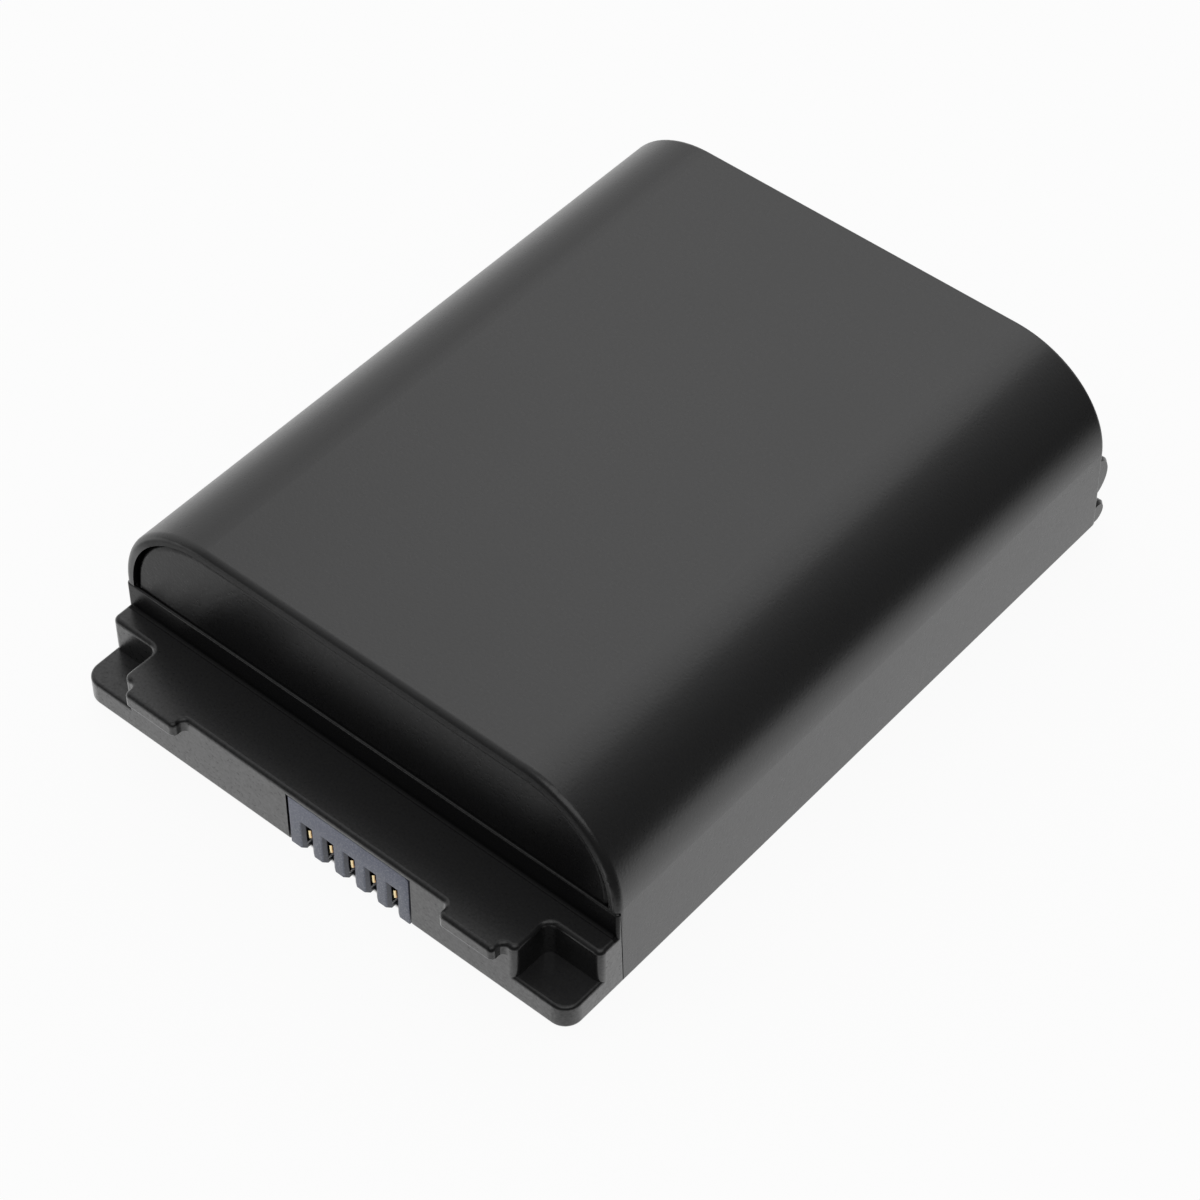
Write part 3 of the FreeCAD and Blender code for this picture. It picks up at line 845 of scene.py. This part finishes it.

# %% [markdown]
# ## The floor
# The pack was photographed on plain white. A floor that is merely lit would need far too much lamp
# light to turn white, so for rays from the camera and from reflections most of it is a glow, and the
# rest is the lit floor with the pack's soft shadow. For all other rays it is an ordinary pale floor.
# To the right of the pack and in front, the floor is painted darker as shade, and off the near corner it
# carries a painted shadow of the pack. The camera does not see this, but what is mirrored from there is
# darker. Through the comb's slots the floor under the pack can be seen, where no light reaches, so there it
# is painted black as shade.

# %% Floor finish
RIGHT_WAY = (0.832, 0.555, 0.0)
RIGHT_SHADE = (0.050, 0.095)
FRONT_WAY = (0.0, -1.0, 0.0)
FRONT_SHADE = (0.090, 0.150)
CORNER_WAY = (0.66, -0.75, 0.0)
CORNER_SHADOW = (0.046, 0.056)
SHADE_FROM = 0.60 * MM
SHADE_TO = 0.85 * MM
FLOOR_GLOW = 0.93


def floor_finish():
    """Pale floor that is seen as white, and is mirrored darker where painted shade lies on it."""
    finish = new_finish("studio_floor")
    place = finish.place()
    direct, glossy, through = (
        finish.node("ShaderNodeLightPath", {}, {}, ray)
        for ray in ("Is Camera Ray", "Is Glossy Ray", "Is Transmission Ray")
    )
    # Painted shade for all but camera rays: darker to the right and in front, and a painted shadow of the
    # pack off its near corner.
    right = finish.ramp(finish.reach(place, RIGHT_WAY), *RIGHT_SHADE)
    ahead = finish.ramp(finish.reach(place, FRONT_WAY), *FRONT_SHADE)
    corner = finish.ramp(finish.reach(place, CORNER_WAY), *CORNER_SHADOW)
    far_shade = (right | ahead | corner) * (1 - direct)
    tint = finish.blend(far_shade, colour(1, 1, 1), colour(0.12, 0.12, 0.12))
    across, along = (finish.coordinate(place, axis) for axis in "XY")
    # Painted shade: the floor under the comb, seen through its slots, is black.
    under = finish.ramp(along, comb_front + SHADE_FROM, comb_front + SHADE_TO) * (along < comb_high.y)
    shade_below_comb = under * (across > comb_low.x) * (across < comb_high.x)
    tint = finish.blend(shade_below_comb, tint, colour(0.012, 0.012, 0.013))
    seen = direct | glossy | through
    finish.surface(Base_Color=tint, Roughness=0.9)
    plain = Wire(finish, finish.shader.outputs[0])
    glow = finish.node("ShaderNodeEmission", {}, {"Color": tint, "Strength": 1.0})
    mixed = finish.node("ShaderNodeMixShader", {}, {0: seen * FLOOR_GLOW, 1: plain, 2: glow})
    finish.fill(finish.tree.nodes["Material Output"], {"Surface": mixed})
    return finish.owner


floor_white = floor_finish()
print("made", floor_white.name)

# %% [markdown]
# The floor itself is one large plane at the height of the pack's flat face. It is staging and no part of the
# pack.

# %% Floor
FLOOR_SIDE = 3.0

bpy.ops.object.select_all(action="DESELECT")
bpy.ops.mesh.primitive_plane_add(size=FLOOR_SIDE, location=(0, 0, 0))
floor = bpy.context.object
floor.name = "studio_floor"
floor.data.materials.append(floor_white)
print("floor", floor.dimensions[:])

# %% [markdown]
# ## The light
# One large softbox hangs high behind the pack. Seen from the camera the flat top mirrors it, which
# gives the even mid-grey. A wider one hangs in front on the right, and lights the ledge, the comb and
# the edges' rounds. Neither is seen by the camera itself.

# %% Lamps
def softbox(name, place, width, depth, power):
    """Rectangular lamp that faces the pack."""
    lamp = bpy.data.lights.new(name, "AREA")
    lamp.shape = "RECTANGLE"
    lamp.size = width
    lamp.size_y = depth
    lamp.energy = power
    holder = bpy.data.objects.new(name, lamp)
    bpy.context.scene.collection.objects.link(holder)
    holder.location = place
    holder.rotation_euler = (-Vector(place)).to_track_quat("-Z", "Y").to_euler()
    holder.visible_camera = False


softbox("overhead_softbox", place=(-0.16, 0.46, 0.66), width=0.70, depth=0.50, power=0.58)
softbox("top_fill", place=(0.45, -0.40, 0.95), width=1.20, depth=1.00, power=3.5)

# %% [markdown]
# The room stays dim, so the shoulder of the shell, which mirrors the horizon, falls off to black,
# and the upright side mirrors the white floor and turns light again. Only to the left and behind is
# the room lighter, as by a window, and the left shoulder mirrors that.

# %% Room
WINDOW_WAY = (-0.8, 0.6, 0.0)
WINDOW_FROM = -0.4
WINDOW_TO = 0.7
WINDOW_LIGHT = 0.6
ROOM_LIGHT = 0.14

room = Finish(bpy.data.worlds.new("studio_room"))
facing = room.reach(room.node("ShaderNodeTexCoord", {}, {}, "Generated"), WINDOW_WAY)
soft = {"interpolation_type": "SMOOTHSTEP"}
lit = room.node("ShaderNodeMapRange", soft, {0: facing, 1: WINDOW_FROM, 2: WINDOW_TO})
bpy.context.scene.world = room.surface(Color=colour(1, 1, 1), Strength=ROOM_LIGHT + lit * WINDOW_LIGHT)
bpy.context.scene.view_settings.view_transform = "Standard"
print("room:", bpy.context.scene.world.name)

# %% [markdown]
# ## The camera
# The photograph looks down on the front right corner through a long lens. The angles, the distance
# and the lens were found by matching corners of the pack, and the lens is for a square picture.

# %% Camera
AZIMUTH = math.radians(39.735)
ELEVATION = math.radians(48.095)
ROLL = math.radians(0.626)
AIM = Vector((6.57, -8.25, 12.87)) * MM
DISTANCE = 306.08 * MM
LENS = 104.516
SENSOR = 36
NEAREST = 0.01

turn = (
    Matrix.Rotation(AZIMUTH, 4, "Z")
    @ Matrix.Rotation(math.pi / 2 - ELEVATION, 4, "X")
    @ Matrix.Rotation(ROLL, 4, "Z")
)
camera = bpy.data.objects.new("photo_camera", bpy.data.cameras.new("photo_camera"))
bpy.context.scene.collection.objects.link(camera)
camera.matrix_world = Matrix.Translation(AIM + turn.to_3x3() @ Vector((0, 0, DISTANCE))) @ turn
camera.data.lens = LENS
camera.data.sensor_width = SENSOR
camera.data.clip_start = NEAREST
bpy.context.scene.camera = camera
print("camera at", [round(v / MM, 1) for v in camera.location])

# %% [markdown]
# ## The end
# The dressed pack may not outgrow the solids.

# %% The end
print("the scene is set")
